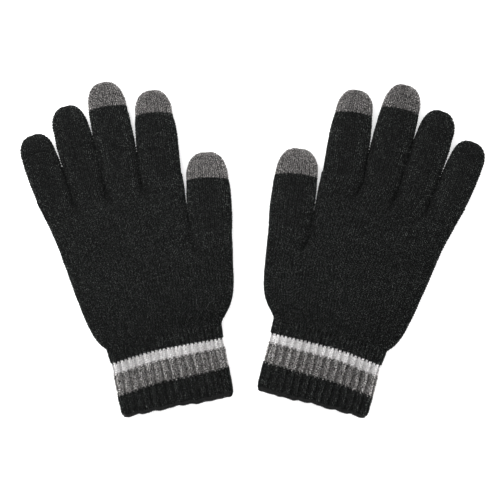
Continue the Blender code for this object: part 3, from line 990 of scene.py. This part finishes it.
def shaded(tree, where, deep, hollow):
    """How much darker or paler the yarn is: by wear at random, by painted shade between the stitches and in
    the folds, and by painted light on crests.
    """
    patch = add(tree, "ShaderNodeTexNoise", {"Vector": where, "Scale": per_mm(WEAR_MM), "Detail": 2.0})
    worn = {"Value": patch, "From Min": NOISE_RANGE[0], "From Max": NOISE_RANGE[1]}
    worn.update({"To Min": WEAR[0], "To Max": WEAR[1]})
    height = add(tree, "ShaderNodeAttribute", attribute_name="height").outputs["Fac"]
    low = {"Value": height, "From Min": HEIGHT_SHADED, "From Max": HEIGHT_LIT, "To Min": deep, "To Max": LIT}
    crest = add(tree, "ShaderNodeAttribute", attribute_name="crest").outputs["Fac"]
    fold = {
        "Value": crest, "From Min": -CREST_SPAN, "From Max": CREST_SPAN,
        "To Min": hollow, "To Max": 2 - hollow,
    }
    parts = [add(tree, "ShaderNodeMapRange", settings) for settings in (worn, low, fold)]
    shade = add(tree, MATHS, {0: parts[0], 1: parts[1]}, operation="MULTIPLY")
    return add(tree, MATHS, {0: shade, 1: parts[2]}, operation="MULTIPLY")


# %% The yarn material
ACRYLIC_IOR = 1.49
FUZZ_MM = 0.45  # loose fibre ends, also drawn coarser than real ones
PLY_TURNS = 4  # turns of the two plies along one strand


def yarn(name, colours, speckle_mm, roughness, sheen, sheen_tint, tone_share=0.28, light_from=0.5,
         softness=0.16, deep=0.30, hollow=0.6, twist_mm=0.06):
    """A spun yarn of dark, middle and light fibres.

    tone_share is how much a whole stitch differs from the next, light_from how rare the light fibres are,
    softness how gently they blend, deep and hollow how dark the painted shade is between stitches and in
    folds; hollow also sets how pale the painted light on crests is.
    """
    material = bpy.data.materials.new(name)
    material.use_nodes = True
    tree = material.node_tree
    shader = tree.nodes["Principled BSDF"]
    shader.inputs["IOR"].default_value = ACRYLIC_IOR
    shader.inputs["Specular IOR Level"].default_value = 0.25
    shader.inputs["Sheen Weight"].default_value = sheen
    shader.inputs["Sheen Roughness"].default_value = 0.45
    shader.inputs["Sheen Tint"].default_value = linear(sheen_tint)

    where = add(tree, "ShaderNodeTexCoord").outputs["Object"]
    fibres = mottled(tree, where, colours, speckle_mm, tone_share, light_from, softness)
    shade = shaded(tree, where, deep, hollow)
    colour = add(tree, VECTOR_MATHS, {0: fibres, "Scale": shade}, operation="SCALE")
    tree.links.new(colour.outputs[0], shader.inputs["Base Color"])

    # loose fibre ends catch the light unevenly
    fuzz = add(tree, "ShaderNodeTexNoise", {"Vector": where, "Scale": per_mm(FUZZ_MM), "Detail": 2.0})
    rough = add(tree, "ShaderNodeMapRange", {"Value": fuzz, "To Min": roughness[0], "To Max": roughness[1]})
    tree.links.new(rough.outputs["Result"], shader.inputs["Roughness"])

    # the twist of the plies along each strand, and the fuzz, as relief
    strand = add(tree, "ShaderNodeAttribute", attribute_name="strand").outputs["Fac"]
    turns = add(tree, MATHS, {0: strand, 1: 2 * math.pi * PLY_TURNS}, operation="MULTIPLY")
    plies = add(tree, MATHS, {0: turns}, operation="SINE")
    relief = add(tree, MATHS, {0: plies, 1: 0.5, 2: fuzz}, operation="MULTIPLY_ADD")
    bump = add(tree, "ShaderNodeBump", {"Height": relief, "Strength": 0.7, "Distance": twist_mm * MM})
    tree.links.new(bump.outputs["Normal"], shader.inputs["Normal"])
    return material


# %% The six yarns
# spun and knitted acrylic dyed black: almost no light comes back but for a few pale fibres
BLACK = yarn("matt_black_acrylic_yarn", ("010303", "0c1110", "777b78"), 0.62, (0.86, 0.98), 0.03, "8a8c90",
             tone_share=0.1, light_from=0.58, softness=0.1, deep=0.22, hollow=0.45)
# acrylic spun with conductive fibre: an even salt-and-pepper grey, a touch smoother and shinier
TOUCH = yarn("mottled_conductive_grey_yarn", ("343232", "737170", "c8c4c2"), 0.66, (0.74, 0.92), 0.12,
             "b4b4b6", tone_share=0.15, softness=0.12, hollow=0.8)
# acrylic spun from dark and pale fibres: strong speckles, and strong painted shade in the hollows between the
# ribs
MID = yarn("mottled_mid_grey_acrylic_yarn", ("2a2828", "7f7b78", "f1efee"), 0.7, (0.82, 0.96), 0.10, "b0aeac",
           tone_share=0.1, softness=0.12, hollow=0.42)
# acrylic dyed light grey in one tone: only the painted shade of its folds and of the gaps between stitches
# shows
PALE = yarn("light_grey_acrylic_yarn", ("c8c5c6", "fcfafa", "ffffff"), 0.8, (0.82, 0.96), 0.16, "d8d8da",
            tone_share=0.15, deep=0.5, hollow=0.75)
# textured thread wound close by the overlocker: fine turns, a little smoother than the yarn
THREAD = yarn("textured_black_overlock_thread", ("0b0c0c", "191b1a", "3a3c3b"), 0.7, (0.70, 0.90), 0.14,
              "909296", twist_mm=0.03)
# rubber core wound with black thread: smoother, so a faint line of light runs along it
ELASTIC = yarn("black_covered_elastic_thread", ("0d0d0e", "202122", "404244"), 0.6, (0.55, 0.72), 0.06,
               "909296", twist_mm=0.03)

# %% [markdown]
# ## The cuff
# The cuff is knitted first on the real glove: a tube of rib that pulls in
# around the wrist. Its colours change from course to course, so the legs of
# one colour bite into the next like teeth. Each colour is a piece of its own.
# The wrist is a joint, and the last black rib lies across it.

# %% Helpers that fix a piece to its bodies
def stand_for(side, node):
    """Hide the CAD node that the piece takes the place of, if there is one."""
    if node:
        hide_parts(f"{side}_{node}")


def ride(piece, side, body, node=None):
    stand_for(side, node)
    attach(piece, f"{side}_{body}")


def bend(piece, side, line, node=None):
    """Hide the CAD node that the piece replaces and bake its place into its mesh; line, the two ends of the
    bend in the flat layout, is turned into places that are not used.
    """
    stand_for(side, node)
    start, end = place([(*p, 0.0) for p in line], side)
    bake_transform(piece)


# %% Knit the bands of the cuff
CUFF_COURSE = 1.45 * MM
PALM_COURSE = 1.8 * MM
WRIST_BEND = [(CUFF_MIDDLE, WRIST - 8 * MM), (CUFF_MIDDLE, WRIST + 8 * MM)]
BANDS = (
    ("cuff_end_band", HEM_TOP - 1.0 * MM, BAND_TOP, BLACK),
    ("cuff_grey_stripe", BAND_TOP, GREY_TOP, MID),
    ("cuff_light_stripe", GREY_TOP, LIGHT_TOP, PALE),
)

for side in MIRROR:
    for name, start, end, colour in BANDS:
        band = knit(side, name, rib_loop, start, end, CUFF_COURSE, RIB, colour, repeats=RIB_COLUMNS)
        ride(band, side, "cuff", name)
    rib = knit(side, "cuff_wrist_rib", rib_loop, LIGHT_TOP, WRIST, CUFF_COURSE, RIB, BLACK,
               repeats=RIB_COLUMNS)
    bend(rib, side, WRIST_BEND, "cuff_wrist_rib")
print("pieces of ribbing:", len(PIECES))

# %% [markdown]
# ## The overlocked end and the elastic
# The open end of the cuff is trimmed and bound by an overlocker, whose
# threads wrap round the edge in slanted turns. The same knitting tree lays
# them: its bed runs from inside the cuff round the edge to the outside, and
# its chart is one turn high. Three covered elastic threads lie inside the rib.

# %% Wrap the edge
HEM_CENTRE, HEM_DEPTH, HEM_RADIUS = 1.5 * MM, 1.0 * MM, 1.05 * MM
HEM_SWELL = 0.3 * MM
HEM_START, HEM_END = math.pi + 0.5, -0.5  # angles round the edge, from inside the cuff to outside
WRAPS = 128
HEM_COURSE = 0.6 * MM
HEM_FIBRES, HEM_LOOSENESS = 0.25, 0.6


def hem_loop(turn):
    """A line along the cuff's edge, turned round the edge by an angle."""
    return cuff_loop(HEM_CENTRE * (1 - math.sin(turn)), HEM_SWELL, HEM_DEPTH - HEM_RADIUS * math.cos(turn))


def overlock(side):
    hem = knit(side, "cuff_overlock_edge", hem_loop, HEM_START, HEM_END, HEM_COURSE, WRAP, THREAD,
               repeats=WRAPS, courses=1, fibre=HEM_FIBRES, looseness=HEM_LOOSENESS)
    ride(hem, side, "cuff", "cuff_overlock_edge")


print("threads around each edge:", WRAPS)

# %% Lay in the elastic
ELASTIC_LINES = (0.0402, 0.0428, 0.0454)
ELASTIC_RADIUS = 0.4 * MM
ELASTIC_INSET = 2.1 * MM
ELASTIC_SIDES = 8
CUFF_FLATNESS = 4  # turns a place on the flat ring into an outward direction


def elastic_ring(side, number, line):
    """A thin closed ring of round section."""
    centre = cuff_loop(line + ELASTIC_RADIUS, inset=ELASTIC_INSET)[:-1]
    middle = centre.mean(axis=0)
    vertices, along = [], []
    for k, p in enumerate(centre):
        outward = (p - middle) * (1, 0, CUFF_FLATNESS)
        outward = outward / np.linalg.norm(outward)
        for n in range(ELASTIC_SIDES):
            angle = 2 * math.pi * n / ELASTIC_SIDES
            spoke = outward * math.cos(angle) + np.array([0, math.sin(angle), 0])
            vertices.append(p + ELASTIC_RADIUS * spoke)
            along.append(k / 2)
    grid = np.arange(len(vertices)).reshape(-1, ELASTIC_SIDES)
    faces = []
    for a, b in zip(grid, np.roll(grid, -1, axis=0)):
        for n in range(ELASTIC_SIDES):
            m = (n + 1) % ELASTIC_SIDES
            quad = (int(a[n]), int(b[n]), int(b[m]), int(a[m]))
            faces.append(quad[::-1] if MIRROR[side] < 0 else quad)
    mesh = smooth_mesh(f"covered_{side}_wrist_elastic_{number}", place(vertices, side).tolist(), faces)
    mesh.attributes.new("strand", "FLOAT", "POINT").data.foreach_set("value", along)
    mesh.materials.append(ELASTIC)
    return put(mesh.name, mesh)


for side in MIRROR:
    overlock(side)
    for number, line in enumerate(ELASTIC_LINES, 1):
        ring = elastic_ring(side, number, line)
        bend(ring, side, WRIST_BEND, f"wrist_elastic_{number}")
print("elastic threads in each cuff:", len(ELASTIC_LINES))

# %% [markdown]
# ## The palm
# Above the cuff the tube widens into the five-finger palm, which includes
# the root of the thumb. Where the thumb leaves, the knitting goes on as the
# narrower four-finger palm. Both are plain knit.

# %% Knit the palm
for side in MIRROR:
    five = knit(side, "palm_five_finger_tube", five_loop, WRIST, THUMB_FORK, PALM_COURSE, PLAIN, BLACK)
    bend(five, side, WRIST_BEND, "palm_five_finger_tube")
    four = knit(side, "palm_four_finger_tube", four_loop, THUMB_FORK, FINGER_LINE, PALM_COURSE, PLAIN, BLACK)
    ride(four, side, "hand", "palm_four_finger_tube")
print("palm faces:", len(five.data.polygons) + len(four.data.polygons))

# %% [markdown]
# ## Fingers and thumbs
# Each finger is a tube that bends in three places: at the knuckle, at its
# middle joint and at its last joint. It is knitted in four pieces, cut where
# it doesn't bend, so that every piece crosses one joint at most. The piece
# at the end is closed. On the thumb, index and middle finger it is of
# conductive grey yarn, so that the glove works a touchscreen.

# %% Where a digit bends
KNUCKLE_REACH = 13.0 * MM
THUMB_ROOT_REACH = 12.0 * MM
MIDDLE_REACH = 5.5 * MM
LAST_REACH = 5.0 * MM
BREATH = 0.2 * MM  # from the end of a bend to the cut
THUMB_CUT = THUMB_ROOT_REACH + 1.0 * MM
FOOT_OVERLAP = 0.9 * MM  # the first course of a digit grips the palm
TOUCH_DIGITS = ("thumb", "index", "middle")


def on_digit(name, along):
    """A point on the digit's middle line, in the flat layout."""
    lean = math.radians(DIGITS[name]["lean"])
    x, y = foot_of(name)
    return x + along * math.sin(lean), y + along * math.cos(lean)


def bend_line(name, along, reach):
    return [on_digit(name, along - reach), on_digit(name, along + reach)]


def root_line(name, reach):
    """Two points from a digit's foot straight up the glove, whatever its lean."""
    x, y = foot_of(name)
    return [(x, y), (x, y + reach)]


# %% Knit the digits
def knit_part(side, name, label, start, end, colour=BLACK, closed=False):
    """A part of a digit, knitted between two distances from its foot."""

    def draw(along):
        return digit_loop(name, along)

    return knit(side, f"{name}_{label}", draw, start, end, PALM_COURSE, PLAIN, colour, closed=closed)


def knit_end(side, name, start):
    """The part before the last joint and the closed tip, which meet at that joint."""
    length, last = DIGITS[name]["length"], DIGITS[name]["last"] * DIGITS[name]["length"]
    line = bend_line(name, last, LAST_REACH)
    label = "upper_part" if name == "thumb" else "outer_part"
    bend(knit_part(side, name, label, start, last), side, line)
    label, colour = ("touch_tip", TOUCH) if name in TOUCH_DIGITS else ("plain_tip", BLACK)
    tip = knit_part(side, name, label, last, length, colour, closed=True)
    bend(tip, side, line, f"{name}_{label}")


def knit_thumb(side):
    root = knit_part(side, "thumb", "root", -FOOT_OVERLAP, THUMB_CUT)
    bend(root, side, root_line("thumb", THUMB_ROOT_REACH), "thumb_tube")
    knit_end(side, "thumb", THUMB_CUT)


def knit_finger(side, name):
    middle = MIDDLE_JOINT * DIGITS[name]["length"]
    below, above = middle - MIDDLE_REACH - BREATH, middle + MIDDLE_REACH + BREATH
    root = knit_part(side, name, "root", -FOOT_OVERLAP, below)
    bend(root, side, root_line(name, KNUCKLE_REACH), f"{name}_lower_tube")
    mid = knit_part(side, name, "middle_part", below, above)
    line = bend_line(name, middle, MIDDLE_REACH)
    bend(mid, side, line, f"{name}_upper_tube")
    knit_end(side, name, above)


for side in MIRROR:
    for name in DIGITS:
        if name == "thumb":
            knit_thumb(side)
        else:
            knit_finger(side, name)
print("pieces knitted:", len(PIECES))

# %% [markdown]
# ## Table and light
# A white table under an even white sky with one soft lamp from the upper
# left gives the dark yarn just enough shape. The table glows a little, as a
# lit board does, so that the shadows stay faint.

# %% Set the table
TABLE_HALF = 1.5
TABLE_DROP = 0.4 * MM
BOARD_GLOW = 0.55


def white_board():
    material = bpy.data.materials.new("matt_white_board")
    material.use_nodes = True
    shader = material.node_tree.nodes["Principled BSDF"]
    shader.inputs["Base Color"].default_value = linear("f4f4f4")
    shader.inputs["Roughness"].default_value = 0.9
    shader.inputs["Emission Color"].default_value = (1.0, 1.0, 1.0, 1.0)
    shader.inputs["Emission Strength"].default_value = BOARD_GLOW
    return material


def stage_floor():
    mesh = bpy.data.meshes.new("table")
    corners = [(x * TABLE_HALF, y * TABLE_HALF, 0) for x, y in ((-1, -1), (1, -1), (1, 1), (-1, 1))]
    mesh.from_pydata(corners, [], [(0, 1, 2, 3)])
    mesh.materials.append(white_board())
    table = put("table", mesh)
    table.location.z = -TABLE_DROP
    return table


stage_floor()
print("table:", 2 * TABLE_HALF, "m wide")

# %% Set the light
SKY_STRENGTH = 0.95
LAMP_SIZE, LAMP_POWER, LAMP_PLACE = 0.7, 9.0, (-0.55, 0.55, 0.75)

world = bpy.data.worlds.new("even_white_sky")
world.use_nodes = True
world.node_tree.nodes["Background"].inputs["Color"].default_value = (1.0, 1.0, 1.0, 1.0)
world.node_tree.nodes["Background"].inputs["Strength"].default_value = SKY_STRENGTH
scene.world = world

lamp = bpy.data.lights.new("soft_lamp", "AREA")
lamp.size = LAMP_SIZE
lamp.energy = LAMP_POWER
lamp_object = put("soft_lamp", lamp)
lamp_object.location = LAMP_PLACE
lamp_object.rotation_euler = (-lamp_object.location).to_track_quat("-Z", "Y").to_euler()
scene.view_settings.view_transform = "Standard"
print("lamp:", lamp.energy, "W")

# %% [markdown]
# ## Finish
# The stitch templates have done their work and go. The triangles of the knitted pieces are counted.

# %% Clear the templates, count the triangles and finish
discard(PLAIN, RIB, WRAP, FIBRE)
bpy.data.node_groups.remove(KNITTING)
triangles = {name: sum(len(p.vertices) - 2 for p in o.data.polygons) for name, o in PIECES.items()}
print("triangles:", sum(triangles.values()), "largest piece:", max(triangles.values()))
